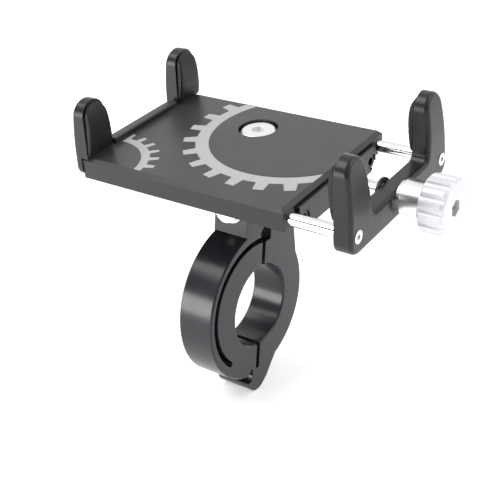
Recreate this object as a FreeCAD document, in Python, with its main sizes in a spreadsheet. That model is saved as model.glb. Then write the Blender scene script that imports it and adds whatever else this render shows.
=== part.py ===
import FreeCAD, Part
import math
import os

import Sketcher

# Handlebar phone mount: a deck with two fixed claws, a jaw with two claws that a
# knob and a lead screw draw along two guide rods, a swivel bolt, and a hinged clamp.
# Millimetres, +Z up. The origin is the centre of the clamp's bore, +X runs along the
# handlebar from the fixed claws to the knob, and +Y runs along the phone.
# "Deck frame" below means the swivel axis where it meets the deck's top face.

SIZES = {
    # clamp; v and w are axes across and along the clamp's split, leaned back by "lean"
    "bar_r": 14.35, "clamp_wide": 13.0, "ring_r": 25.0, "lean": 13.0, "slit": 2.0, "seam": 0.5,
    "neck_y": 23.4, "neck_z": 44.5, "boss_r": 9.5, "boss_z": 49.5,
    "band_r": 27.2, "band_v": -0.8, "band_w": 1.3, "flex_v": -3.2, "flex_w": 1.8, "flex_r": 23.1,
    "flex_gap": 2.0, "flex_sweep": 151.0,
    "lug_v": 10.2, "lug_w": 42.0, "lug_low": 20.0, "seam_w": 28.2, "bolt_w": 35.7,
    "hinge_v": 0.4, "hinge_w": -27.0, "barrel_r": 3.35, "hook_in": 3.42, "hook_out": 5.4,
    "hinge_room": 5.8, "mouth_to": 195.0,
    "key_v": 0.8, "key_w": 25.6, "key_r": 3.0, "key_low": 22.9,
    "clampbolt_r": 2.5, "clampbolt_long": 19.2, "clampbolt_head_r": 4.25, "clampbolt_head": 2.4,
    "lug_hole_r": 2.7, "neck_hole_r": 2.95, "neck_hole_deep": 9.5,
    # swivel
    "pivot_y": 16.0, "pivot_r": 3.0, "pivot_head_r": 5.9, "pivot_head": 2.6, "pivot_down": 0.5,
    "pivot_long": 13.4, "recess_r": 6.5, "recess": 3.6, "pivot_gap": 0.1, "wave_r": 5.8, "friction_r": 9.3,
    # deck
    "deck_top": 57.5, "deck_left": 38.8, "deck_right": 36.7, "deck_front": 41.7, "deck_back": 15.3,
    "deck_thick": 7.0, "deck_edge": 1.2, "mid_y": -13.2, "ridge_wide": 3.4, "ridge_up": 2.0,
    "ridge_half": 16.0, "engrave": 0.15,
    "rib_left": 20.3, "rib_drop": 10.2, "block_left": 26.3, "block_right": 37.8, "block_half": 22.0,
    "block_top": 2.0, "channel_left": -5.0, "channel_half": 2.8, "channel_top": 1.4,
    # claws
    "claw_wide": 12.6, "claw_y": 22.9, "claw_top": 18.0, "claw_tip_r": 4.9, "claw_outer": 41.6, "rim": 1.3,
    "claw_curve": 76.5, "claw_bend": 1.5, "foot": 2.8, "foot_low": 6.6, "foot_corner": 3.0, "wall": 5.6,
    "pad": 2.1, "pad_wide": 11.2, "pad_top": 17.2, "pad_tip_r": 4.3,
    # jaw
    "jaw_outer": 58.4, "bar_top": 1.5, "bar_low": 10.0, "bar_corner": 4.5, "root": 2.5,
    "rod_r": 2.0, "rod_y": 25.4, "rod_z": 4.2, "rod_left": -14.0, "rod_seat": 1.6, "rod_play": 0.05,
    "rod_bore_end": -29.2,
    # lead screw and knob
    "screw_r": 2.5, "screw_left": 12.0, "screw_play": 0.06, "clip_x": 51.6, "clip_thick": 0.7,
    "groove_r": 2.0, "clip_r": 4.2, "collar_left": 59.8, "collar_r": 5.5, "knob_left": 66.6,
    "knob_right": 74.8, "knob_r": 8.7, "knob_rim": 1.3, "scallop_r": 1.6, "scallop_at": 9.6, "head_left": 69.6,
    "head_right": 73.2, "head_r": 4.0, "washer_thick": 1.0,
}
SCALLOPS = 14
DECK = ("0", "dims.pivot_y", "dims.deck_top")      # the deck frame's origin


def sheet_of_sizes(document):
    sheet = document.addObject("Spreadsheet::Sheet", "dims")
    for row, (alias, number) in enumerate(SIZES.items(), start=1):
        sheet.set(f"A{row}", alias)
        sheet.set(f"B{row}", str(number))
        sheet.setAlias(f"B{row}", alias)
    document.recompute()
    return sheet


# Sums are done in a document of their own, because a change to the model's own sheet
# would make every piece recompute.
sums = sheet_of_sizes(FreeCAD.newDocument("sums"))
doc = FreeCAD.newDocument("phone_mount")
sheet_of_sizes(doc)
nodes = []


def value(expression):
    """The number an expression comes to, for a sketch's first shape."""
    sums.set("D1", "=" + expression.replace("dims.", ""))
    sums.recompute()
    return float(sums.get("D1"))


def node(thing, name):
    """Name a finished piece and put it on the list of files to write."""
    thing.Label = name
    nodes.append(thing)
    return thing


def place(thing, at, turn=None):
    """Bind a thing's position to the sheet, and turn it (axis, degrees) in place."""
    if turn:
        thing.Placement = FreeCAD.Placement(FreeCAD.Vector(), FreeCAD.Rotation(FreeCAD.Vector(*turn[0]), turn[1]))
    for letter, expression in zip("xyz", at):
        thing.setExpression(f"Placement.Base.{letter}", expression)
    return thing


# ---- sketches and PartDesign features ----

def sketch_on(body, role, name, out="0", lean="0"):
    """A sketch on one of the body's own planes, moved out along its normal and leaned."""
    sketch = body.newObject("Sketcher::SketchObject", name)
    plane = next(part for part in body.Origin.OriginFeatures if part.Role == role)
    sketch.AttachmentSupport = [(plane, "")]
    sketch.MapMode = "FlatFace"
    sketch.setExpression("AttachmentOffset.Base.z", out)
    sketch.setExpression("AttachmentOffset.Rotation.Angle", lean)
    return sketch


def bind(sketch, kind, where, expression):
    """One dimension of a sketch, bound to the sheet."""
    index = sketch.addConstraint(Sketcher.Constraint(kind, *where, value(expression)))
    sketch.setExpression(f"Constraints[{index}]", expression)


def outline(sketch, points):
    """A closed outline of straight lines through points given as expressions."""
    first = sketch.GeometryCount
    corners = [FreeCAD.Vector(value(x), value(y), 0) for x, y in points]
    for start, end in zip(corners, corners[1:] + corners[:1]):
        sketch.addGeometry(Part.LineSegment(start, end))
    for index, (x, y) in enumerate(points):
        line = first + index
        following = first + (index + 1) % len(points)
        sketch.addConstraint(Sketcher.Constraint("Coincident", line, 2, following, 1))
        bind(sketch, "DistanceX", (-1, 1, line, 1), x)
        bind(sketch, "DistanceY", (-1, 1, line, 1), y)
    return sketch


def rectangle(sketch, left, low, right, high):
    return outline(sketch, [(left, low), (right, low), (right, high), (left, high)])


def circle(sketch, x, y, radius):
    centre = FreeCAD.Vector(value(x), value(y), 0)
    index = sketch.addGeometry(Part.Circle(centre, FreeCAD.Vector(0, 0, 1), value(radius)))
    bind(sketch, "Radius", (index,), radius)
    bind(sketch, "DistanceX", (-1, 1, index, 3), x)
    bind(sketch, "DistanceY", (-1, 1, index, 3), y)
    return sketch


def tombstone(sketch, centre, half, low, high, tip):
    """A plate outline: flat foot, sides that lean in to meet a round top of radius "tip"."""
    x, foot, top, radius = value(centre), value(low), value(high), value(tip)
    corners = [FreeCAD.Vector(x - value(half), foot, 0), FreeCAD.Vector(x + value(half), foot, 0)]
    middle = FreeCAD.Vector(x, top - radius, 0)
    reach = corners[1] - middle
    lean_in = math.atan2(reach.y, reach.x) + math.acos(radius / reach.Length)
    right = middle + FreeCAD.Vector(math.cos(lean_in), math.sin(lean_in), 0) * radius
    left = FreeCAD.Vector(2 * x - right.x, right.y, 0)
    base = sketch.addGeometry(Part.LineSegment(*corners))
    rising = sketch.addGeometry(Part.LineSegment(corners[1], right))
    arc = sketch_arc(sketch, middle, radius, (lean_in, math.pi - lean_in))
    falling = sketch.addGeometry(Part.LineSegment(left, corners[0]))
    sketch.addConstraint(Sketcher.Constraint("Coincident", base, 2, rising, 1))
    sketch.addConstraint(Sketcher.Constraint("Coincident", falling, 2, base, 1))
    sketch.addConstraint(Sketcher.Constraint("Tangent", rising, 2, arc, 1))
    sketch.addConstraint(Sketcher.Constraint("Tangent", arc, 2, falling, 1))
    for point, sign in ((1, "-"), (2, "+")):
        bind(sketch, "DistanceX", (-1, 1, base, point), f"{centre} {sign} ({half})")
        bind(sketch, "DistanceY", (-1, 1, base, point), low)
    bind(sketch, "Radius", (arc,), tip)
    bind(sketch, "DistanceX", (-1, 1, arc, 3), centre)
    bind(sketch, "DistanceY", (-1, 1, arc, 3), f"{high} - ({tip})")
    return sketch


def sketch_arc(sketch, centre, radius, span):
    whole = Part.Circle(centre, FreeCAD.Vector(0, 0, 1), radius)
    return sketch.addGeometry(Part.ArcOfCircle(whole, *span))


def pad(sketch, length, both=False, back=False):
    """Add material on a sketch: both ways, or forward, or back along its normal."""
    body = sketch.getParentGeoFeatureGroup()
    feature = body.newObject("PartDesign::Pad", sketch.Name + "_pad")
    feature.Profile = sketch
    feature.setExpression("Length", length)
    feature.SideType = "Symmetric" if both else "One side"
    feature.Reversed = back
    doc.recompute()
    return feature


def pocket(sketch, length, both=False, back=False):
    """Cut a sketch out of its body, and make sure that something was cut."""
    body = sketch.getParentGeoFeatureGroup()
    before = body.Shape.Volume
    feature = body.newObject("PartDesign::Pocket", sketch.Name + "_cut")
    feature.Profile = sketch
    feature.setExpression("Length", length)
    feature.SideType = "Symmetric" if both else "One side"
    feature.Reversed = back
    doc.recompute()
    if body.Shape.Volume > before - 0.01:
        raise RuntimeError(f"{feature.Name} cuts nothing")
    return feature


def edges_where(shape, test):
    """The names of the edges whose middle point and curve pass a test."""
    names = []
    for number, edge in enumerate(shape.Edges, start=1):
        middle = edge.valueAt((edge.FirstParameter + edge.LastParameter) / 2)
        if test(edge, middle):
            names.append(f"Edge{number}")
    return names


def soften(body, test, size, kind="Fillet"):
    """Round or bevel the edges of a body that pass a test."""
    base = body.Tip
    feature = body.newObject(f"PartDesign::{kind}", f"{body.Name}_{kind.lower()}")
    feature.Base = (base, edges_where(base.Shape, test))
    feature.setExpression("Radius" if kind == "Fillet" else "Size", size)
    body.Tip = feature
    doc.recompute()
    return feature


def near(a, b):
    return abs(a - b) < 0.01


# ---- Part primitives ----

AXES = {"x": ((0, 1, 0), 90), "-x": ((0, 1, 0), -90), "z": None, "-z": ((1, 0, 0), 180)}


def cylinder(name, radius, length, at, axis="x"):
    thing = doc.addObject("Part::Cylinder", name)
    thing.setExpression("Radius", radius)
    thing.setExpression("Height", length)
    return place(thing, at, AXES[axis])


def hexagon(name, across_flats, depth, at, axis="x"):
    thing = doc.addObject("Part::Prism", name)
    thing.Polygon = 6
    thing.setExpression("Circumradius", f"({across_flats}) / sqrt(3)")
    thing.setExpression("Height", depth)
    return place(thing, at, AXES[axis])


def fuse(name, things):
    joined = doc.addObject("Part::MultiFuse", name)
    joined.Shapes = things
    joined.Refine = True
    return joined


def cut(name, base, tools):
    """A base less its tools; several tools are joined first."""
    result = doc.addObject("Part::Cut", name)
    result.Base = base
    result.Tool = tools[0] if len(tools) == 1 else fuse(name + "_tools", tools)
    doc.recompute()
    return result


def group(name, things):
    together = doc.addObject("Part::Compound", name)
    together.Links = things
    return node(together, name)


def ring(name, inner, outer, thick, at, axis="x"):
    disc = cylinder(name + "_disc", outer, thick, at, axis)
    hole = cylinder(name + "_hole", inner, thick, at, axis)
    return node(cut(name, disc, [hole]), name)


def cap_screw(name, at, axis, sizes):
    """A cap screw whose head sits on the point "at" and stands out against the axis."""
    step = {"x": ("-1", 0), "-x": ("1", 0), "z": ("-1", 2), "-z": ("1", 2)}[axis]
    head_at = list(at)
    head_at[step[1]] = f"{at[step[1]]} + {step[0]} * {sizes['head']}"
    head = cylinder(name + "_head", sizes["head_r"], sizes["head"], head_at, axis)
    shank = cylinder(name + "_shank", sizes["shank_r"], sizes["shank"], at, axis)
    socket = hexagon(name + "_socket", sizes["key"], sizes["key_deep"], head_at, axis)
    return cut(name, fuse(name + "_blank", [head, shank]), [socket])


# ---- clamp ----

LEAN = "-dims.lean"
LEANED = ((1, 0, 0), -SIZES["lean"])


def leaned_point(v, w):
    """World Y and Z, as expressions, of a point given across and along the split."""
    return (f"({v}) * cos(dims.lean) + ({w}) * sin(dims.lean)",
            f"({w}) * cos(dims.lean) - ({v}) * sin(dims.lean)")


def around_hinge(radius, angle):
    return (f"dims.hinge_v + ({radius}) * cos({angle})", f"dims.hinge_w + ({radius}) * sin({angle})")


def beside_hinge(v, w):
    return (f"dims.hinge_v + ({v})", f"dims.hinge_w + ({w})")


def cut_keyhole(body):
    """The round relief at the top of the split, with a flat below it, in either half."""
    wide = "dims.clamp_wide"
    key = sketch_on(body, "YZ_Plane", body.Name + "_keyhole", lean=LEAN)
    pocket(circle(key, "dims.key_v", "dims.key_w", "dims.key_r"), wide, both=True)


def cross_hole(name, radius, start, length):
    """A round hole across the split, on the clamp bolt's axis."""
    y, z = leaned_point(start, "dims.bolt_w")
    hole = doc.addObject("Part::Cylinder", name)
    hole.setExpression("Radius", radius)
    hole.setExpression("Height", length)
    return place(hole, ("0", y, z), ((1, 0, 0), -90 - SIZES["lean"]))


def clamp_body():
    """Neck, right half of the ring, and the hook that holds the jaw's hinge barrel."""
    wide = "dims.clamp_wide"
    body = doc.addObject("PartDesign::Body", "clamp_body_blank")
    pad(circle(sketch_on(body, "YZ_Plane", "ring"), "0", "0", "dims.ring_r"), wide, both=True)
    pad(rectangle(sketch_on(body, "YZ_Plane", "neck"), "0", "-7", "dims.neck_y", "dims.neck_z"), wide, both=True)
    pocket(circle(sketch_on(body, "YZ_Plane", "bore"), "0", "0", "dims.bar_r"), wide, both=True)
    split = sketch_on(body, "YZ_Plane", "split", lean=LEAN)
    pocket(rectangle(split, "-60", "-60", "dims.slit / 2", "60"), wide, both=True)
    hook = sketch_on(body, "YZ_Plane", "hook", lean=LEAN)
    pad(circle(hook, "dims.hinge_v", "dims.hinge_w", "dims.hook_out"), wide, both=True)
    heel = sketch_on(body, "YZ_Plane", "heel", lean=LEAN)
    outline(heel, [("dims.hinge_v", "dims.hinge_w"), beside_hinge("3.8", "-3.8"), beside_hinge("5.9", "-1.9"),
                   beside_hinge("8", "1.3"), beside_hinge("11", "5.6"), ("6", "-20")])
    pad(heel, wide, both=True)
    eye = sketch_on(body, "YZ_Plane", "eye", lean=LEAN)
    pocket(circle(eye, "dims.hinge_v", "dims.hinge_w", "dims.hook_in"), wide, both=True)
    mouth = sketch_on(body, "YZ_Plane", "mouth", lean=LEAN)
    outline(mouth, [("dims.slit / 2", "dims.hinge_w"), ("dims.slit / 2", "dims.hinge_w + 8"),
                    around_hinge("11", "130"), around_hinge("6.5", "dims.mouth_to"),
                    ("dims.hinge_v", "dims.hinge_w")])
    pocket(mouth, wide, both=True)
    cut_keyhole(body)
    flat = sketch_on(body, "YZ_Plane", "keyhole_flat", lean=LEAN)
    pocket(rectangle(flat, "0", "dims.key_low", "dims.key_v + dims.key_r", "dims.key_w"), wide, both=True)
    half = SIZES["clamp_wide"] / 2
    soften(body, lambda edge, at: near(abs(at.x), half) and (
        (edge.Curve.TypeId == "Part::GeomCircle"
         and (near(edge.Curve.Radius, SIZES["bar_r"]) or near(edge.Curve.Radius, SIZES["ring_r"])))
        or near(at.y, SIZES["neck_y"])), "0.5", "Chamfer")
    boss = cylinder("pivot_boss", "dims.boss_r", "dims.boss_z - dims.neck_z + 1",
                    ("0", "dims.pivot_y", "dims.neck_z - 1"), "z")
    thread = cylinder("pivot_thread", "dims.pivot_r", "11", ("0", "dims.pivot_y", "dims.boss_z - 9.4"), "z")
    bolt_hole = cross_hole("neck_hole", "dims.neck_hole_r", "0", "dims.neck_hole_deep")
    whole = fuse("clamp_body_whole", [body, boss])
    return node(cut("clamp_body", whole, [thread, bolt_hole]), "clamp_body")


def clamp_jaw():
    """Lug, outer band and inner crescent, on the barrel that turns in the body's hook."""
    wide = "dims.clamp_wide"
    body = doc.addObject("PartDesign::Body", "clamp_jaw_blank")
    band = sketch_on(body, "YZ_Plane", "band", lean=LEAN)
    pad(circle(band, "dims.band_v", "dims.band_w", "dims.band_r"), wide, both=True)
    lug = sketch_on(body, "YZ_Plane", "lug", lean=LEAN)
    pad(rectangle(lug, "-dims.lug_v", "dims.lug_low", "dims.seam", "dims.lug_w"), wide, both=True)
    pocket(circle(sketch_on(body, "YZ_Plane", "jaw_bore"), "0", "0", "dims.bar_r"), wide, both=True)
    face = sketch_on(body, "YZ_Plane", "split_face", lean=LEAN)
    outline(face, [("-dims.slit / 2", "-60"), ("60", "-60"), ("60", "60"), ("dims.seam", "60"),
                   ("dims.seam", "dims.seam_w"), ("-dims.slit / 2", "dims.seam_w")])
    pocket(face, wide, both=True)
    room = sketch_on(body, "YZ_Plane", "hinge_room", lean=LEAN)
    pocket(circle(room, "dims.hinge_v", "dims.hinge_w", "dims.hinge_room"), wide, both=True)
    barrel = sketch_on(body, "YZ_Plane", "barrel", lean=LEAN)
    circle(barrel, "dims.hinge_v", "dims.hinge_w", "dims.barrel_r")
    stem = sketch_on(body, "YZ_Plane", "stem", lean=LEAN)
    outline(stem, [beside_hinge("-1.4", "1"), beside_hinge("-1.4", "7.5"), beside_hinge("-4.6", "7.5"),
                   beside_hinge("-3.6", "4.4"), beside_hinge("-2.6", "1.8")])
    pad(stem, wide, both=True)
    pad(barrel, wide, both=True)
    cut_keyhole(body)
    half = SIZES["clamp_wide"] / 2
    soften(body, lambda edge, at: near(abs(at.x), half) and edge.Curve.TypeId == "Part::GeomCircle"
           and (near(edge.Curve.Radius, SIZES["bar_r"]) or near(edge.Curve.Radius, SIZES["band_r"])),
           "0.5", "Chamfer")
    centre = leaned_point("dims.flex_v", "dims.flex_w")
    sector = []
    for name, radius in (("flex_outer", "dims.flex_r"), ("flex_inner", "dims.flex_r - dims.flex_gap")):
        wedge = doc.addObject("Part::Cylinder", name)
        wedge.setExpression("Radius", radius)
        wedge.setExpression("Height", "dims.clamp_wide + 2")
        wedge.setExpression("Angle", "dims.flex_sweep")
        place(wedge, ("-dims.clamp_wide / 2 - 1", centre[0], centre[1]))
        turn = FreeCAD.Rotation(FreeCAD.Vector(1, 0, 0), 83 - SIZES["lean"])
        wedge.Placement.Rotation = turn.multiply(FreeCAD.Rotation(FreeCAD.Vector(1, 1, 1), 120))
        sector.append(wedge)
    middle = "(dims.flex_r - dims.flex_gap / 2)"
    y, z = leaned_point(f"dims.flex_v + {middle} * cos(83 + dims.flex_sweep)",
                        f"dims.flex_w + {middle} * sin(83 + dims.flex_sweep)")
    slot_end = cylinder("flex_end", "dims.flex_gap / 2", "dims.clamp_wide + 2", ("-dims.clamp_wide / 2 - 1", y, z))
    slot = fuse("flex_slot", [cut("flex_arc", sector[0], [sector[1]]), slot_end])
    bolt_hole = cross_hole("lug_hole", "dims.lug_hole_r", "-dims.lug_v - 1", "dims.lug_v + 3")
    return node(cut("clamp_jaw", body, [slot, bolt_hole]), "clamp_jaw")


def clamp_bolt():
    """Cap screw and washer that pull the jaw's lug to the neck."""
    turn = ((1, 0, 0), -90 - SIZES["lean"])
    washer = "0.8"
    seat = f"-dims.lug_v - {washer}"

    def across(name, radius, length, start):
        thing = doc.addObject("Part::Cylinder", name)
        thing.setExpression("Radius", radius)
        thing.setExpression("Height", length)
        y, z = leaned_point(start, "dims.bolt_w")
        return place(thing, ("0", y, z), turn)

    head = across("clamp_bolt_head", "dims.clampbolt_head_r", "dims.clampbolt_head", f"{seat} - dims.clampbolt_head")
    shank = across("clamp_bolt_shank", "dims.clampbolt_r", "dims.clampbolt_long", seat)
    socket = doc.addObject("Part::Prism", "clamp_bolt_socket")
    socket.Polygon = 6
    socket.setExpression("Circumradius", "4 / sqrt(3)")
    socket.setExpression("Height", "1.5")
    y, z = leaned_point(f"{seat} - dims.clampbolt_head", "dims.bolt_w")
    place(socket, ("0", y, z), turn)
    node(cut("clamp_bolt", fuse("clamp_bolt_blank", [head, shank]), [socket]), "clamp_bolt")
    disc = across("clamp_washer_disc", "4.9", washer, seat)
    hole = across("clamp_washer_hole", "dims.clampbolt_r", washer, seat)
    return node(cut("clamp_bolt_washer", disc, [hole]), "clamp_bolt_washer")


# ---- swivel ----

def swivel():
    """Flanged bolt down through the deck into the neck, and the two washers it loads."""
    body = doc.addObject("PartDesign::Body", "pivot_bolt_blank")
    profile = sketch_on(body, "XZ_Plane", "pivot_profile")
    down = "-dims.pivot_down"
    seat = f"{down} - dims.pivot_head"
    outline(profile, [("0", down), ("dims.pivot_head_r - 0.7", down), ("dims.pivot_head_r", f"{down} - 0.5"),
                      ("dims.pivot_head_r", seat), ("dims.pivot_r", seat),
                      ("dims.pivot_r", f"{seat} - dims.pivot_long + 0.8"),
                      ("dims.pivot_r - 0.8", f"{seat} - dims.pivot_long"), ("0", f"{seat} - dims.pivot_long")])
    turned = body.newObject("PartDesign::Revolution", "pivot_turned")
    turned.Profile = profile
    turned.ReferenceAxis = (profile, ["V_Axis"])
    turned.Angle = 360
    doc.recompute()
    place(body, DECK)
    top = ("0", "dims.pivot_y", f"dims.deck_top {down}")
    socket = hexagon("pivot_socket", "4", "1.3", top, "-z")
    node(cut("pivot_bolt", body, [socket]), "pivot_bolt")
    under = ("0", "dims.pivot_y", "dims.deck_top - dims.recess + dims.pivot_gap")
    thick = "dims.recess - dims.pivot_gap - dims.pivot_down - dims.pivot_head"
    ring("pivot_spring_washer", "dims.pivot_r + 0.1", "dims.wave_r", thick, under, "z")
    rest = ("0", "dims.pivot_y", "dims.boss_z")
    thick = "dims.deck_top - dims.deck_thick - dims.boss_z - 0.15"
    ring("friction_washer", "dims.pivot_r + 0.1", "dims.friction_r", thick, rest, "z")


# ---- deck ----

def gear(centre, teeth, inner, root, tip, first, widths):
    """A flat toothed ring, as thick as the engraving is deep, on the deck frame's top."""
    deep = SIZES["engrave"]
    up = FreeCAD.Vector(0, 0, 1)
    at = FreeCAD.Vector(centre[0], centre[1], -deep)
    shape = Part.makeCylinder(root, 2 * deep, at, up)
    for number in range(teeth):
        angle = math.radians(first + 360 / teeth * number)
        out = FreeCAD.Vector(math.cos(angle), math.sin(angle), 0)
        side = FreeCAD.Vector(-out.y, out.x, 0)
        base, end = out * (root - 0.5), out * tip
        corners = [base - side * widths[0], end - side * widths[1], end + side * widths[1], base + side * widths[0]]
        tooth = Part.Face(Part.makePolygon([at + corner for corner in corners + corners[:1]]))
        shape = shape.fuse(tooth.extrude(up * 2 * deep))
    return shape.cut(Part.makeCylinder(inner, 2 * deep, at, up))


def engraving():
    """Two engraved gears, kept to the flat of the deck between ridge and bevels."""
    big = gear((14.5, 0.5), 24, 27.9, 32.2, 36.3, -90.9, (2.15, 1.75))
    small = gear((-34.2, -42.4), 24, 15.6, 18.4, 21.5, 1.5, (1.3, 1.0))
    edge = SIZES["deck_edge"]
    left = -SIZES["deck_left"] + SIZES["ridge_wide"] + 0.4
    corner = FreeCAD.Vector(left, -SIZES["deck_front"] + edge, -1)
    flat = Part.makeBox(SIZES["deck_right"] - edge - left, SIZES["deck_front"] + SIZES["deck_back"] - 2 * edge, 2, corner)
    thing = doc.addObject("Part::Feature", "gear_engraving")
    thing.Shape = big.fuse(small).common(flat)
    return place(thing, DECK)


def deck_plate():
    body = doc.addObject("PartDesign::Body", "deck_blank")
    thick = "dims.deck_thick"
    left, right, front, back = "-dims.deck_left", "dims.deck_right", "-dims.deck_front", "dims.deck_back"
    pad(rectangle(sketch_on(body, "XY_Plane", "plate"), left, front, right, back), thick, back=True)
    soften(body, lambda edge, at: near(at.z, 0) and not near(at.x, -SIZES["deck_left"]), "dims.deck_edge", "Chamfer")
    ridge = sketch_on(body, "XY_Plane", "ridge", out="-1")
    pad(rectangle(ridge, left, "dims.mid_y - dims.ridge_half", "-dims.deck_left + dims.ridge_wide",
                  "dims.mid_y + dims.ridge_half"), "dims.ridge_up + 1")
    rib = sketch_on(body, "XY_Plane", "rib", out="-dims.rib_drop")
    pad(rectangle(rib, "dims.rib_left", "dims.mid_y - dims.block_half", "dims.block_left",
                  "dims.mid_y + dims.block_half"), "dims.rib_drop - 1")
    notch = sketch_on(body, "XY_Plane", "notch", out="-dims.rib_drop")
    pocket(rectangle(notch, "dims.block_left", "dims.mid_y - dims.block_half - 0.2", "dims.deck_right + 1",
                     "dims.mid_y + dims.block_half + 0.2"), "dims.rib_drop - dims.block_top", back=True)
    channel = sketch_on(body, "XY_Plane", "channel", out="-dims.deck_thick")
    pocket(rectangle(channel, "dims.channel_left", "dims.mid_y - dims.channel_half", "dims.deck_right",
                     "dims.mid_y + dims.channel_half"), "dims.deck_thick - dims.channel_top", back=True)
    rods = sketch_on(body, "YZ_Plane", "rod_bores", out="dims.deck_right")
    for sign in ("-", "+"):
        circle(rods, f"dims.mid_y {sign} dims.rod_y", "-dims.rod_z", "dims.rod_r + dims.rod_play")
    pocket(rods, "dims.deck_right - dims.rod_bore_end")
    for name, plane_out, depth, across, low, facing in (
            ("claw_threads", "-dims.deck_left", "7", "dims.claw_y", "-3.4", True),
            ("block_threads", "dims.block_left", "5.5", "dims.block_half - 2.6", "-6.8", False)):
        holes = sketch_on(body, "YZ_Plane", name, out=plane_out)
        for sign in ("-", "+"):
            circle(holes, f"dims.mid_y {sign} ({across})", low, "1.3")
        pocket(holes, depth, back=facing)
    pocket(circle(sketch_on(body, "XY_Plane", "recess"), "0", "0", "dims.recess_r"), "dims.recess")
    pocket(circle(sketch_on(body, "XY_Plane", "pivot_hole"), "0", "0", "dims.pivot_r + dims.pivot_gap"), thick)
    soften(body, lambda edge, at: near(at.z, SIZES["ridge_up"]), "0.6", "Fillet")
    place(body, DECK)
    return node(cut("deck_plate", body, [engraving()]), "deck_plate")


def thread_block():
    """Nut block that the lead screw turns in, screwed to the deck's rib."""
    body = doc.addObject("PartDesign::Body", "thread_block")
    half = "dims.block_half"
    face = sketch_on(body, "YZ_Plane", "block_face", out="dims.block_left")
    low = "-dims.rib_drop"
    top = "-dims.block_top - 0.1"
    outline(face, [(f"dims.mid_y - {half}", f"{low} + 3"), (f"dims.mid_y - {half} + 3", low),
                   (f"dims.mid_y + {half} - 3", low), (f"dims.mid_y + {half}", f"{low} + 3"),
                   (f"dims.mid_y + {half}", top), (f"dims.mid_y - {half}", top)])
    pad(face, "dims.block_right - dims.block_left")
    bore = sketch_on(body, "YZ_Plane", "block_bore", out="dims.block_right")
    circle(bore, "dims.mid_y", "-dims.rod_z", "dims.screw_r + dims.screw_play")
    pocket(bore, "12")
    for name, radius, depth in (("block_holes", "1.6", "12"), ("block_sinks", "2.5", "2.6")):
        holes = sketch_on(body, "YZ_Plane", name, out="dims.block_right")
        for sign in ("-", "+"):
            circle(holes, f"dims.mid_y {sign} ({half} - 2.6)", "-6.8", radius)
        pocket(holes, depth)
    place(body, DECK)
    node(body, "thread_block")
    screws = []
    for name, sign in (("front", "-"), ("rear", "+")):
        at = ("dims.block_right - 2.6", f"dims.pivot_y + dims.mid_y {sign} ({half} - 2.6)", "dims.deck_top - 6.8")
        sizes = {"head_r": "2.4", "head": "2.2", "shank_r": "1.3", "shank": "12", "key": "2.5", "key_deep": "1.4"}
        screws.append(cap_screw("block_screw_" + name, at, "-x", sizes))
    group("thread_block_screws", screws)


# ---- fixed claws, moving jaw and pads; pads are drawn from the claws' outer face inward ----

def lean_back(body, name, outer, inward):
    """Cut a claw's outer face back along a large arc above its bend, so that it curves in."""
    side = sketch_on(body, "XZ_Plane", name + "_back")
    middle, bend, end = f"{outer} + {inward} * dims.claw_curve", "dims.claw_bend", "dims.claw_top + 1"
    beyond = f"{outer} - {inward}"
    centre, radius = FreeCAD.Vector(value(middle), value(bend), 0), value("dims.claw_curve")
    turn = math.asin((value(end) - value(bend)) / radius)
    span = (math.pi - turn, math.pi) if inward > 0 else (0, turn)
    arc = sketch_arc(side, centre, radius, span)
    start_point, end_point = (2, 1) if inward > 0 else (1, 2)
    low = FreeCAD.Vector(value(outer), value(bend), 0)
    low_out, high_out = (FreeCAD.Vector(value(beyond), value(height), 0) for height in (bend, end))
    high = FreeCAD.Vector(centre.x - inward * radius * math.cos(turn), value(end), 0)
    lines = [side.addGeometry(Part.LineSegment(*pair))
             for pair in ((low, low_out), (low_out, high_out), (high_out, high))]
    side.addConstraint(Sketcher.Constraint("Coincident", arc, start_point, lines[0], 1))
    side.addConstraint(Sketcher.Constraint("Coincident", lines[0], 2, lines[1], 1))
    side.addConstraint(Sketcher.Constraint("Coincident", lines[1], 2, lines[2], 1))
    side.addConstraint(Sketcher.Constraint("Coincident", lines[2], 2, arc, end_point))
    bind(side, "DistanceX", (-1, 1, arc, 3), middle)
    bind(side, "DistanceY", (-1, 1, arc, 3), bend)
    bind(side, "Radius", (arc,), "dims.claw_curve")
    for line, height in ((lines[0], bend), (lines[1], end)):
        bind(side, "DistanceX", (-1, 1, line, 2), beyond)
        bind(side, "DistanceY", (-1, 1, line, 2), height)
    bind(side, "DistanceY", (-1, 1, arc, start_point), bend)
    bind(side, "DistanceY", (-1, 1, arc, end_point), end)
    pocket(side, "100", both=True)


def on_outer_rim(outer, inward):
    """A test for the edges round a claw's outer face, without the bend across it."""
    radius = SIZES["claw_curve"]

    def test(edge, at):
        above = max(0, at.z - SIZES["claw_bend"])
        back = radius - math.sqrt(radius ** 2 - above ** 2)
        bend = near(at.z, SIZES["claw_bend"]) and near(edge.BoundBox.ZLength, 0)
        return near(at.x, outer + inward * back) and not bend

    return test


def fixed_claw(name):
    """A claw whose foot is screwed to the deck's end and whose shoulder rests on its top."""
    body = doc.addObject("PartDesign::Body", name)
    face = sketch_on(body, "YZ_Plane", name + "_face")
    tombstone(face, "0", "dims.claw_wide / 2", "-dims.foot_low", "dims.claw_top", "dims.claw_tip_r")
    pad(face, "dims.wall")
    low = -SIZES["foot_low"]
    soften(body, lambda edge, at: near(at.z, low) and near(edge.Length, SIZES["wall"]), "dims.foot_corner")
    lean_back(body, name, "0", 1)
    soften(body, on_outer_rim(0, 1), "dims.rim")
    under = sketch_on(body, "XZ_Plane", name + "_seat")
    pocket(rectangle(under, "dims.foot", "-dims.foot_low - 1", "dims.wall + 1", "0"), "30", both=True)
    return body


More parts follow.
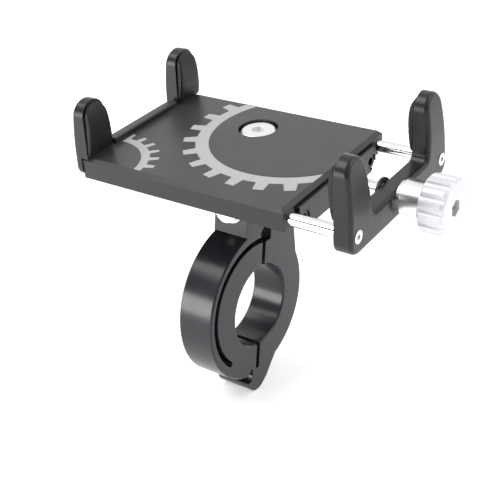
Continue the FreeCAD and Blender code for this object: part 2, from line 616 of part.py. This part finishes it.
def claw_pad(name):
    """Rubber pad over a claw's inner face, swelling inward towards the top."""
    body = doc.addObject("PartDesign::Body", name)
    side = sketch_on(body, "XZ_Plane", name + "_side")
    swell = [("0", "0.5"), ("0.38", "0.9"), ("0.7", "3.5"), ("0.9", "6.5"), ("1", "9.5"), ("1", "11.5"),
             ("0.88", "13.8"), ("0.6", "15.6"), ("0.2", "17"), ("0", "17.2")]
    outline(side, [(f"dims.wall + {share} * dims.pad", up) for share, up in swell])
    pad(side, "dims.pad_wide", both=True)
    face = sketch_on(body, "YZ_Plane", name + "_face", out="dims.wall")
    margin = [("-10", "-1"), ("10", "-1"), ("10", "20"), ("-10", "20")]
    outline(face, margin)
    tombstone(face, "0", "dims.pad_wide / 2", "0.5", "dims.pad_top", "dims.pad_tip_r")
    pocket(face, "10", back=True)
    return body


def claws():
    """The deck's two claws, and a pad on each of them and on each of the jaw's."""
    for row, sign in (("front", "-"), ("rear", "+")):
        y = f"dims.pivot_y + dims.mid_y {sign} dims.claw_y"
        at = ("-dims.claw_outer", y, "dims.deck_top")
        name = f"fixed_claw_{row}"
        shell = place(fixed_claw(name + "_blank"), at)
        hole = cylinder(name + "_hole", "1.6", "dims.foot + 1", (at[0], y, "dims.deck_top - 3.4"))
        sink = cylinder(name + "_sink", "2.1", "1.4", (at[0], y, "dims.deck_top - 3.4"))
        node(cut(name, shell, [hole, sink]), name)
        node(place(claw_pad(f"fixed_pad_{row}"), at), f"fixed_pad_{row}")
        at = ("dims.jaw_outer", y, "dims.deck_top")
        node(place(claw_pad(f"moving_pad_{row}"), at, ((0, 0, 1), 180)), f"moving_pad_{row}")


def claw_screws():
    sizes = {"head_r": "2", "head": "1.6", "shank_r": "1.3", "shank": "7.2", "key": "1.5", "key_deep": "1"}
    fixed, moving = [], []
    for row, sign in (("front", "-"), ("rear", "+")):
        at = ("-dims.claw_outer + 1.4", f"dims.pivot_y + dims.mid_y {sign} dims.claw_y", "dims.deck_top - 3.4")
        fixed.append(cap_screw("fixed_screw_" + row, at, "x", sizes))
        at = ("dims.jaw_outer - 1.4", f"dims.pivot_y + dims.mid_y {sign} dims.rod_y", "dims.deck_top - dims.rod_z")
        moving.append(cap_screw("rod_screw_" + row, at, "-x", dict(sizes, shank="8")))
    group("fixed_claw_screws", fixed)
    group("rod_end_screws", moving)


# ---- jaw ----

def jaw():
    """One plate with a claw at each end of its crossbar, and the rods that guide it."""
    body = doc.addObject("PartDesign::Body", "moving_jaw")
    inner = "dims.jaw_outer - dims.wall"
    face = sketch_on(body, "YZ_Plane", "bar_face", out=inner)
    rectangle(face, "dims.mid_y - dims.claw_y", "-dims.bar_low", "dims.mid_y + dims.claw_y", "-dims.bar_top")
    pad(face, "dims.wall")
    for row, sign in (("front", "-"), ("rear", "+")):
        claw = sketch_on(body, "YZ_Plane", "jaw_claw_" + row, out=inner)
        tombstone(claw, f"dims.mid_y {sign} dims.claw_y", "dims.claw_wide / 2 + 0.3", "-dims.bar_low",
                  "dims.claw_top", "dims.claw_tip_r")
        pad(claw, "dims.wall")
    middle = SIZES["jaw_outer"] - SIZES["wall"] / 2
    across = (lambda edge, at: near(at.x, middle) and near(edge.BoundBox.XLength, SIZES["wall"]))
    soften(body, lambda edge, at: across(edge, at) and near(at.z, -SIZES["bar_low"]), "dims.bar_corner")
    soften(body, lambda edge, at: across(edge, at) and near(at.z, -SIZES["bar_top"])
           and abs(at.y - SIZES["mid_y"]) < 20, "dims.root")
    lean_back(body, "jaw", "dims.jaw_outer", -1)
    soften(body, on_outer_rim(SIZES["jaw_outer"], -1), "dims.rim")
    seats = sketch_on(body, "YZ_Plane", "rod_seats", out=inner)
    through = sketch_on(body, "YZ_Plane", "bar_holes", out=inner)
    sinks = sketch_on(body, "YZ_Plane", "bar_sinks", out="dims.jaw_outer")
    for sign in ("-", "+"):
        circle(seats, f"dims.mid_y {sign} dims.rod_y", "-dims.rod_z", "dims.rod_r")
        circle(through, f"dims.mid_y {sign} dims.rod_y", "-dims.rod_z", "1.6")
        circle(sinks, f"dims.mid_y {sign} dims.rod_y", "-dims.rod_z", "2.1")
    circle(through, "dims.mid_y", "-dims.rod_z", "dims.screw_r + dims.screw_play")
    pocket(seats, "dims.rod_seat", back=True)
    pocket(through, "10", back=True)
    pocket(sinks, "1.4")
    node(place(body, DECK), "moving_jaw")
    end = f"{inner} + dims.rod_seat"
    for row, sign in (("front", "-"), ("rear", "+")):
        y, z = f"dims.pivot_y + dims.mid_y {sign} dims.rod_y", "dims.deck_top - dims.rod_z"
        rod = cylinder(f"rod_{row}_bar", "dims.rod_r", f"{end} - dims.rod_left", ("dims.rod_left", y, z))
        tapped = cylinder(f"rod_{row}_thread", "1.3", "8", (end, y, z), "-x")
        node(cut(f"guide_rod_{row}", rod, [tapped]), f"guide_rod_{row}")
    y, z = "dims.pivot_y + dims.mid_y", "dims.deck_top - dims.rod_z"
    ring("thrust_washer", "dims.screw_r + dims.screw_play", "4.6", "dims.washer_thick", ("dims.jaw_outer", y, z))


# ---- lead screw and knob ----

def knob():
    y, z = "dims.pivot_y + dims.mid_y", "dims.deck_top - dims.rod_z"
    shank = cylinder("screw_shank", "dims.screw_r", "dims.head_left - dims.screw_left", ("dims.screw_left", y, z))
    head = cylinder("screw_head", "dims.head_r", "dims.head_right - dims.head_left", ("dims.head_left", y, z))
    groove = cylinder("screw_groove_outer", "dims.screw_r + 1", "dims.clip_thick", ("dims.clip_x", y, z))
    core = cylinder("screw_groove_core", "dims.groove_r", "dims.clip_thick", ("dims.clip_x", y, z))
    socket = hexagon("screw_socket", "4.5", "3", ("dims.head_right", y, z), "-x")
    blank = fuse("lead_screw_blank", [shank, head])
    node(cut("lead_screw", blank, [cut("screw_groove", groove, [core]), socket]), "lead_screw")

    clip = doc.addObject("Part::Cylinder", "clip_disc")
    clip.setExpression("Radius", "dims.clip_r")
    clip.setExpression("Height", "dims.clip_thick")
    clip.Angle = 300
    place(clip, ("dims.clip_x", y, z), AXES["x"])
    clip_hole = cylinder("clip_hole", "dims.groove_r", "dims.clip_thick", ("dims.clip_x", y, z))
    node(cut("screw_clip", clip, [clip_hole]), "screw_clip")

    ring("knob_collar", "dims.screw_r", "dims.collar_r", "dims.knob_left - dims.collar_left",
         ("dims.collar_left", y, z))

    body = doc.addObject("PartDesign::Body", "knob_blank")
    disc = sketch_on(body, "YZ_Plane", "knob_disc")
    pad(circle(disc, "0", "0", "dims.knob_r"), "dims.knob_right - dims.knob_left")
    length = SIZES["knob_right"] - SIZES["knob_left"]
    soften(body, lambda edge, at: near(at.x, 0) or near(at.x, length), "dims.knob_rim")
    scallop = sketch_on(body, "YZ_Plane", "knob_scallop")
    first = pocket(circle(scallop, "0", "dims.scallop_at", "dims.scallop_r"), "20", back=True)
    around = body.newObject("PartDesign::PolarPattern", "knob_scallops")
    around.Originals = [first]
    around.Axis = (scallop, ["N_Axis"])
    around.Angle = 360
    around.Occurrences = SCALLOPS
    body.Tip = around
    doc.recompute()
    place(body, ("dims.knob_left", y, z))
    bore = cylinder("knob_bore", "dims.screw_r", "dims.head_left - dims.knob_left + 1.5", ("dims.knob_left - 1", y, z))
    pocket_r = cylinder("knob_head_room", "dims.head_r", "dims.head_right - dims.head_left", ("dims.head_left", y, z))
    window = hexagon("knob_window", "4.6", "4", ("dims.knob_right + 1", y, z), "-x")
    node(cut("knob", body, [bore, pocket_r, window]), "knob")


clamp_body()
clamp_jaw()
clamp_bolt()
swivel()
deck_plate()
thread_block()
claws()
claw_screws()
jaw()
knob()
doc.recompute()

for thing in doc.Objects:
    if "Invalid" in thing.State or "Error" in thing.State:
        raise RuntimeError(f"{thing.Label} failed: {thing.State}")

os.makedirs("parts", exist_ok=True)
for thing in nodes:
    if thing.Shape.isNull() or not thing.Shape.isValid():
        raise RuntimeError(f"{thing.Label} has no valid shape")
    thing.Shape.exportStep(f"parts/{thing.Label}.step")
    box = thing.Shape.BoundBox
    print(f"{thing.Label:22s} {len(thing.Shape.Solids)} solids {thing.Shape.Volume:9.1f} mm3 "
          f"x {box.XMin:6.1f} {box.XMax:6.1f} y {box.YMin:6.1f} {box.YMax:6.1f} z {box.ZMin:6.1f} {box.ZMax:6.1f}")
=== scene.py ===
import math

import bpy
from mathutils import Matrix, Vector


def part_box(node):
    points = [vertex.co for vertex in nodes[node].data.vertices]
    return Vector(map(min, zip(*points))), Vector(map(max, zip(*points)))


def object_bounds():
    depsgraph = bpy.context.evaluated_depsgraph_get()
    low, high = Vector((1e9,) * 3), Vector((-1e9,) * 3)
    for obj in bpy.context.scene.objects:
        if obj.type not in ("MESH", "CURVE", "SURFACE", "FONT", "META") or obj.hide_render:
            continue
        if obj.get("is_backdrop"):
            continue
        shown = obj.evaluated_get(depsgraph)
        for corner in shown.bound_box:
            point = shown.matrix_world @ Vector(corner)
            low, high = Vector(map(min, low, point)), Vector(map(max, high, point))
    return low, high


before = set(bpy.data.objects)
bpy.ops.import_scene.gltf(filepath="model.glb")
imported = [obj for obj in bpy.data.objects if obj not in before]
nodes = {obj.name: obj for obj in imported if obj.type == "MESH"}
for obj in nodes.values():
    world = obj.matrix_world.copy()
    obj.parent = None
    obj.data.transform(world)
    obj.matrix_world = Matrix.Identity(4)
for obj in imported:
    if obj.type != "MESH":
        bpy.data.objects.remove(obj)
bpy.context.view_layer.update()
MM = 0.001

# The deck frame: the swivel axis where it meets the deck's top face.
RIDGE_UP = 2.0 * MM
ENGRAVED = 0.15 * MM
DECK_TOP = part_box("deck_plate")[1].z - RIDGE_UP
SWIVEL = Vector((0.0, 16.0 * MM, DECK_TOP))
PADS = ["fixed_pad_front", "fixed_pad_rear", "moving_pad_front", "moving_pad_rear"]


# ---- material building blocks ----

class Graph:
    """A material's node tree, with short calls for the nodes this scene uses."""

    def __init__(self, name):
        self.material = bpy.data.materials.new(name)
        self.material.use_nodes = True
        self.tree = self.material.node_tree
        self.shader = self.tree.nodes["Principled BSDF"]
        self.coords = self.tree.nodes.new("ShaderNodeTexCoord")

    def link(self, source, target):
        """Feed a socket from another socket, or set it to a number or colour."""
        if isinstance(source, (int, float, tuple)):
            target.default_value = source
        else:
            self.tree.links.new(source, target)

    def noise(self, scale, detail=3.0, rough=0.55, stretch=(1, 1, 1)):
        mapping = self.tree.nodes.new("ShaderNodeMapping")
        mapping.inputs["Scale"].default_value = stretch
        self.link(self.coords.outputs["Object"], mapping.inputs["Vector"])
        node = self.tree.nodes.new("ShaderNodeTexNoise")
        node.inputs["Scale"].default_value = scale
        node.inputs["Detail"].default_value = detail
        node.inputs["Roughness"].default_value = rough
        self.link(mapping.outputs["Vector"], node.inputs["Vector"])
        return node.outputs["Fac"]

    def span(self, value, low, high, to_low=0.0, to_high=1.0):
        """Map low..high to to_low..to_high, and no further."""
        node = self.tree.nodes.new("ShaderNodeMapRange")
        for socket, number in zip(node.inputs[1:5], (low, high, to_low, to_high)):
            socket.default_value = number
        self.link(value, node.inputs["Value"])
        return node.outputs["Result"]

    def math(self, operation, a, b=0.0):
        node = self.tree.nodes.new("ShaderNodeMath")
        node.operation = operation
        self.link(a, node.inputs[0])
        self.link(b, node.inputs[1])
        return node.outputs["Value"]

    def mix(self, share, a, b):
        node = self.tree.nodes.new("ShaderNodeMix")
        node.data_type = "RGBA"
        self.link(share, node.inputs["Factor"])
        self.link(a, node.inputs["A"])
        self.link(b, node.inputs["B"])
        return node.outputs["Result"]

    def axis(self, letter, output="Object"):
        node = self.tree.nodes.new("ShaderNodeSeparateXYZ")
        self.link(self.coords.outputs[output], node.inputs["Vector"])
        return node.outputs[letter]

    def edges(self, radius=0.35 * MM):
        """How far the surface turns within a radius: 1 on sharp edges, 0 on flats."""
        geometry = self.tree.nodes.new("ShaderNodeNewGeometry")
        turn = self.tree.nodes.new("ShaderNodeVectorMath")
        turn.operation = "DOT_PRODUCT"
        self.link(self.soft_edges(radius), turn.inputs[0])
        self.link(geometry.outputs["Normal"], turn.inputs[1])
        return self.span(turn.outputs["Value"], 0.99, 0.8)

    def soft_edges(self, radius):
        """A normal that rounds sharp edges off, for pieces drawn with square ones."""
        node = self.tree.nodes.new("ShaderNodeBevel")
        node.samples = 6
        node.inputs["Radius"].default_value = radius
        return node.outputs["Normal"]

    def bump(self, height, strength, distance, under=None):
        node = self.tree.nodes.new("ShaderNodeBump")
        node.inputs["Strength"].default_value = strength
        node.inputs["Distance"].default_value = distance
        self.link(height, node.inputs["Height"])
        if under is not None:
            self.link(under, node.inputs["Normal"])
        return node.outputs["Normal"]

    def finish(self, colour, rough, metal=0.0, normal=None, **shader):
        self.link(colour, self.shader.inputs["Base Color"])
        self.link(rough, self.shader.inputs["Roughness"])
        self.shader.inputs["Metallic"].default_value = metal
        if normal is not None:
            self.link(normal, self.shader.inputs["Normal"])
        for name, value in shader.items():
            self.shader.inputs[name.replace("_", " ")].default_value = value
        return self.material


def grey(level):
    return (level, level, level, 1.0)


def anodised(name, dark, light, rough, soft=0.25):
    """Black anodised aluminium: a fine blasted grain, an even sheen, and sharp edges painted lighter as a
    painted edge highlight.
    """
    # The first number is the grain's share; the second is the share of the painted edge highlight.
    speckled, edge_highlight_share = 0.05, 0.14
    g = Graph(name)
    fine = g.noise(1400, 2)
    tone = g.mix(g.span(g.noise(45, 3, 0.5), 0.3, 0.7), dark, light)
    tone = g.mix(g.math("MULTIPLY", g.span(fine, 0.6, 0.8), speckled), tone, grey(0.3))
    # Sharp edges are mixed towards pale grey: a painted edge highlight.
    edge_highlight = g.math("MULTIPLY", g.edges(), g.span(g.noise(240), 0.4, 0.6, 0.3, 1.0))
    tone = g.mix(g.math("MULTIPLY", edge_highlight, edge_highlight_share), tone, grey(0.5))
    gloss = g.span(g.noise(160, 4), 0.3, 0.7, rough - 0.02, rough + 0.03)
    return g, tone, gloss, g.bump(fine, 0.15, 0.02 * MM, g.soft_edges(soft * MM))


def anodised_clamp():
    dark, light = (0.018, 0.017, 0.022, 1), (0.020, 0.019, 0.025, 1)
    g, tone, gloss, normal = anodised("anodised_clamp", dark, light, 0.22, 0.4)
    return g.finish(tone, gloss, 0.0, normal, Specular_IOR_Level=0.42)


def anodised_claw():
    dark, light = (0.011, 0.011, 0.013, 1), (0.015, 0.015, 0.018, 1)
    g, tone, gloss, normal = anodised("anodised_claw", dark, light, 0.27, 0.3)
    return g.finish(tone, gloss, 0.0, normal, Specular_IOR_Level=0.42)


def engraved_deck():
    """The deck: finely brushed along X, side walls painted darker as painted shade, and the recessed gears
    lasered pale.
    """
    dark, light, painted_shade_walls = (0.040, 0.040, 0.041, 1), (0.048, 0.048, 0.049, 1), (0.010, 0.010, 0.011, 1)
    g, tone, gloss, normal = anodised("anodised_deck", dark, light, 0.36)
    brushed = g.noise(60, 6, 0.7, (4, 300, 300))
    normal = g.bump(brushed, 0.12, 0.02 * MM, normal)
    off_floor = g.math("ABSOLUTE", g.math("SUBTRACT", g.axis("Z"), DECK_TOP - ENGRAVED))
    recessed = g.math("LESS_THAN", off_floor, 0.04 * MM)
    upward = g.axis("Z", "Normal")
    # Faces that don't face up get the darker tone: painted shade on the deck's walls.
    tone = g.mix(g.span(upward, 0.3, 0.9), painted_shade_walls, tone)
    flat = g.math("GREATER_THAN", upward, 0.95)
    mask = g.math("MULTIPLY", recessed, flat)
    laser = g.noise(700, 3, 0.6, (1, 8, 1))
    pale = g.mix(g.span(laser, 0.35, 0.65), grey(0.42), grey(0.52))
    colour = g.mix(mask, tone, pale)
    rough = g.math("ADD", gloss, g.math("MULTIPLY", mask, 0.2))
    return g.finish(colour, rough, 0.0, normal, Specular_IOR_Level=0.5)


def rubber():
    g = Graph("pad_rubber")
    skin = g.noise(1500, 3)
    tone = g.mix(g.noise(120, 3), grey(0.008), grey(0.014))
    gloss = g.span(g.noise(200), 0.3, 0.7, 0.42, 0.55)
    return g.finish(tone, gloss, 0.0, g.bump(skin, 0.25, 0.03 * MM), Specular_IOR_Level=0.35)


def polished(name, level, rough, stretch=(1, 1, 1)):
    """Bright metal with faint turning marks and smudges."""
    g = Graph(name)
    marks = g.noise(300, 4, 0.6, stretch)
    tone = g.mix(g.span(g.noise(90, 3), 0.3, 0.7), grey(level * 0.94), grey(level))
    gloss = g.span(g.noise(180, 4), 0.3, 0.7, rough, rough + 0.08)
    return g.finish(tone, gloss, 1.0, g.bump(marks, 0.1, 0.02 * MM, g.soft_edges(0.15 * MM)))


def black_steel():
    """Black oxide on screws and clip, painted lighter along its edges as a painted highlight."""
    g = Graph("black_steel")
    tone = g.mix(g.noise(150), grey(0.02), grey(0.035))
    # Sharp edges are mixed towards pale grey: a painted edge highlight.
    tone = g.mix(g.math("MULTIPLY", g.edges(), 0.25), tone, grey(0.5))
    gloss = g.span(g.noise(200), 0.3, 0.7, 0.3, 0.42)
    return g.finish(tone, gloss, 0.6, g.bump(g.noise(900), 0.15, 0.03 * MM))


def frosted_knob():
    """Silver anodised aluminium with a frosted, almost white face."""
    g = Graph("frosted_knob")
    lines = g.noise(120, 3, 0.5, (1, 12, 12))
    tone = g.mix(g.span(g.noise(110, 3), 0.3, 0.7), (0.74, 0.74, 0.78, 1), (0.81, 0.81, 0.85, 1))
    gloss = g.span(g.noise(260, 4), 0.3, 0.7, 0.34, 0.46)
    normal = g.bump(lines, 0.08, 0.03 * MM, g.soft_edges(0.3 * MM))
    return g.finish(tone, gloss, 0.3, normal, Specular_IOR_Level=0.6)


def plastic():
    g = Graph("friction_plastic")
    tone = g.mix(g.noise(140), grey(0.02), grey(0.035))
    gloss = g.span(g.noise(220), 0.3, 0.7, 0.45, 0.6)
    return g.finish(tone, gloss, 0.0, g.bump(g.noise(800), 0.2, 0.03 * MM))


# ---- the carried-over CAD nodes ----

MATERIALS = {
    anodised_clamp(): ["clamp_body", "clamp_jaw"],
    anodised_claw(): ["fixed_claw_front", "fixed_claw_rear", "moving_jaw", "thread_block"],
    engraved_deck(): ["deck_plate"],
    rubber(): PADS,
    polished("chromed_rods", 0.86, 0.08, (1, 30, 30)): ["guide_rod_front", "guide_rod_rear"],
    polished("satin_collar", 0.88, 0.25): ["knob_collar"],
    polished("plain_steel", 0.8, 0.18): ["lead_screw", "thrust_washer", "rod_end_screws", "fixed_claw_screws",
                                         "pivot_spring_washer", "clamp_bolt", "clamp_bolt_washer"],
    black_steel(): ["thread_block_screws", "screw_clip"],
    polished("bright_zinc", 0.9, 0.3): ["pivot_bolt"],
    frosted_knob(): ["knob"],
    plastic(): ["friction_washer"],
}
for finish, names in MATERIALS.items():
    for name in names:
        nodes[name].data.materials.clear()
        nodes[name].data.materials.append(finish)


def smoothed(name, grid, passes):
    """Even out a piece's facets and round its edges with a fine regular skin."""
    skin = nodes[name].modifiers.new("skin", "REMESH")
    skin.mode = "VOXEL"
    skin.voxel_size = grid * MM
    skin.use_smooth_shade = True
    ease = nodes[name].modifiers.new("ease", "SMOOTH")
    ease.factor = 0.5
    ease.iterations = passes


for name in PADS:
    smoothed(name, grid=0.2, passes=30)


# ---- stage, light and camera ----

def stage():
    """A pale floor, large enough that its edge is far off, glowing a little like a lit table."""
    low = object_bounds()[0].z
    half = 30.0
    mesh = bpy.data.meshes.new("floor")
    mesh.from_pydata([(-half, -half, low), (half, -half, low), (half, half, low), (-half, half, low)], [],
                     [(0, 1, 2, 3)])
    floor = bpy.data.objects.new("floor", mesh)
    bpy.context.scene.collection.objects.link(floor)
    g = Graph("floor")
    glow = {"Emission_Color": grey(1.0), "Emission_Strength": 0.45}
    mesh.materials.append(g.finish(g.mix(g.noise(8), grey(0.86), grey(0.9)), 0.7, **glow))
    floor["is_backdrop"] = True


def softbox(name, at, size, power):
    """A square light at a point, facing the object."""
    light = bpy.data.lights.new(name, "AREA")
    light.size = size
    light.energy = power
    lamp = bpy.data.objects.new(name, light)
    lamp.location = Vector(at)
    lamp.rotation_mode = "QUATERNION"
    lamp.rotation_quaternion = (SWIVEL - lamp.location).to_track_quat("-Z", "Y")
    bpy.context.scene.collection.objects.link(lamp)


def camera():
    """The photograph's viewpoint, worked out in the deck frame."""
    azimuth, elevation, roll = (math.radians(angle) for angle in (37.59, 31.52, -5.57))
    away, leftward, downward = 320.63, 2.63, 39.29
    back = Vector((math.sin(azimuth) * math.cos(elevation), -math.cos(azimuth) * math.cos(elevation),
                   math.sin(elevation)))
    level = Vector((math.cos(azimuth), math.sin(azimuth), 0))
    upright = back.cross(level)
    right = math.cos(roll) * level + math.sin(roll) * upright
    up = math.cos(roll) * upright - math.sin(roll) * level
    place = SWIVEL + (away * back - leftward * right - downward * up) * MM
    data = bpy.data.cameras.new("camera")
    data.sensor_width = 36.0
    data.lens = 71.73
    eye = bpy.data.objects.new("camera", data)
    turn = Matrix((right, up, back)).transposed()
    eye.matrix_world = Matrix.Translation(place) @ turn.to_4x4()
    bpy.context.scene.collection.objects.link(eye)
    bpy.context.scene.camera = eye


def studio():
    """A white room, dimmer towards the front of the deck, with three softboxes."""
    world = bpy.data.worlds.new("studio")
    world.use_nodes = True
    tree = world.node_tree
    coords = tree.nodes.new("ShaderNodeTexCoord")
    parts = tree.nodes.new("ShaderNodeSeparateXYZ")
    fade = tree.nodes.new("ShaderNodeMapRange")
    front, middle, dim, full = -1.0, 0.3, 0.18, 1.0
    for socket, number in zip(fade.inputs[1:5], (front, middle, dim, full)):
        socket.default_value = number
    tree.links.new(coords.outputs["Generated"], parts.inputs["Vector"])
    tree.links.new(parts.outputs["Y"], fade.inputs["Value"])
    tree.links.new(fade.outputs["Result"], tree.nodes["Background"].inputs["Strength"])
    tree.nodes["Background"].inputs["Color"].default_value = grey(1.0)
    bpy.context.scene.world = world
    softbox("key", (-0.35, -0.25, 0.75), 0.5, 3.0)
    softbox("rim", (0.5, 0.3, 0.45), 0.4, 0.8)
    softbox("fill", (-0.45, -0.68, 0.12), 0.3, 2.6)


studio()
stage()
camera()

bpy.context.scene.view_settings.view_transform = "Standard"
